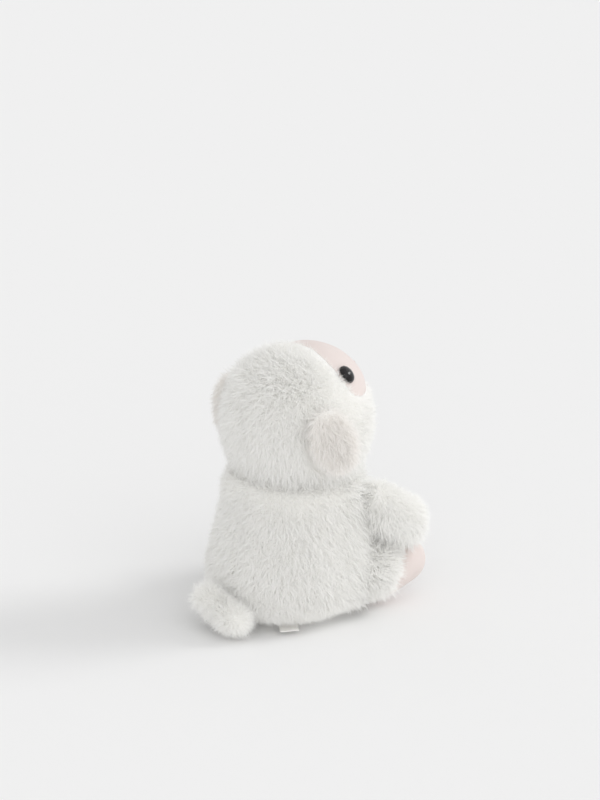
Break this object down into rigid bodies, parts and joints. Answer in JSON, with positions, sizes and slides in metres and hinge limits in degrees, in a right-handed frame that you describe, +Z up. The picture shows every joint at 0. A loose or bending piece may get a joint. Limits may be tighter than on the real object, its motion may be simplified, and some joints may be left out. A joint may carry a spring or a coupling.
{
  "type": "sitting plush lamb",
  "caption": "Palm-size fluffy white plush lamb that sits with its face turned up, with a velour face and feet, glossy eyes, hanging ears, stub limbs and a short tail.",
  "frame": {"origin": "on the floor under the middle of the torso's flat seat", "axes": "+Z up, the lamb faces -Y and upwards, its left side is +X"},
  "size_m": [0.084, 0.113, 0.1289],
  "materials": {
    "fur": "long shaggy pile",
    "velour": "short soft pile",
    "filling": "loose fibre",
    "pouch_cloth": "plain weave",
    "white_thread": "matt thread",
    "pink_thread": "satin stitch",
    "label_ribbon": "plain ribbon",
    "eye_plastic": "polished",
    "washer_plastic": "moulded"
  },
  "bodies": {
    "torso": {"seat_panel": "fur", "belly_panel": "fur", "back_panel_left": "fur", "back_panel_right": "fur", "body_stuffing": "filling", "pellet_pouch": "pouch_cloth", "closing_thread": "white_thread", "blank_label": "label_ribbon"},
    "neck": {"neck_thread": "white_thread"},
    "head": {"head_panel_left": "fur", "head_panel_right": "fur", "face_panel": "velour", "head_stuffing": "filling", "eye_left": "eye_plastic", "eye_right": "eye_plastic", "eye_washer_left": "washer_plastic", "eye_washer_right": "washer_plastic", "nose_stitching": "pink_thread", "mouth_stitching": "pink_thread"},
    "ear_left": {"ear_back_left": "fur", "ear_lining_left": "velour"},
    "ear_right": {"ear_back_right": "fur", "ear_lining_right": "velour"},
    "arm_left": {"arm_skin_left": "fur", "arm_stuffing_left": "filling"},
    "arm_right": {"arm_skin_right": "fur", "arm_stuffing_right": "filling"},
    "leg_left": {"leg_skin_left": "fur", "foot_cap_left": "velour", "leg_stuffing_left": "filling"},
    "leg_right": {"leg_skin_right": "fur", "foot_cap_right": "velour", "leg_stuffing_right": "filling"},
    "tail": {"tail_skin": "fur", "tail_stuffing": "filling"}
  },
  "joints": [
    {"name": "neck_turn", "type": "hinge", "parent": "torso", "child": "neck", "pos_m": [0, -0.0066, 0.0924], "axis": [0, 0, 1], "range_deg": [-20, 20], "stiffness_Nm_per_rad": 0.1},
    {"name": "head_nod", "type": "hinge", "parent": "neck", "child": "head", "pos_m": [0, -0.0066, 0.0924], "axis": [1, 0, 0], "range_deg": [-12, 15], "stiffness_Nm_per_rad": 0.1},
    {"name": "ear_lift_left", "type": "hinge", "parent": "head", "child": "ear_left", "pos_m": [0.0312, 0.0059, 0.1092], "axis": [0.2686, -0.895, 0.356], "range_deg": [0, 60], "stiffness_Nm_per_rad": 0.001},
    {"name": "ear_lift_right", "type": "hinge", "parent": "head", "child": "ear_right", "pos_m": [-0.0312, 0.0059, 0.1092], "axis": [0.2686, 0.895, -0.356], "range_deg": [0, 60], "stiffness_Nm_per_rad": 0.001},
    {"name": "arm_lift_left", "type": "hinge", "parent": "torso", "child": "arm_left", "pos_m": [0.0288, -0.0316, 0.056], "axis": [-1, 0, 0], "range_deg": [0, 50], "stiffness_Nm_per_rad": 0.02},
    {"name": "arm_lift_right", "type": "hinge", "parent": "torso", "child": "arm_right", "pos_m": [-0.0288, -0.0316, 0.056], "axis": [-1, 0, 0], "range_deg": [0, 50], "stiffness_Nm_per_rad": 0.02},
    {"name": "leg_spread_left", "type": "hinge", "parent": "torso", "child": "leg_left", "pos_m": [0.0225, -0.03, 0.0162], "axis": [-0.1, 0, 0.995], "range_deg": [0, 20], "stiffness_Nm_per_rad": 0.05},
    {"name": "leg_spread_right", "type": "hinge", "parent": "torso", "child": "leg_right", "pos_m": [-0.0225, -0.03, 0.0162], "axis": [-0.1, 0, -0.995], "range_deg": [0, 20], "stiffness_Nm_per_rad": 0.05},
    {"name": "tail_lift", "type": "hinge", "parent": "torso", "child": "tail", "pos_m": [-0.003, 0.036, 0.0245], "axis": [1, 0, 0], "range_deg": [0, 35], "stiffness_Nm_per_rad": 0.005}
  ]
}
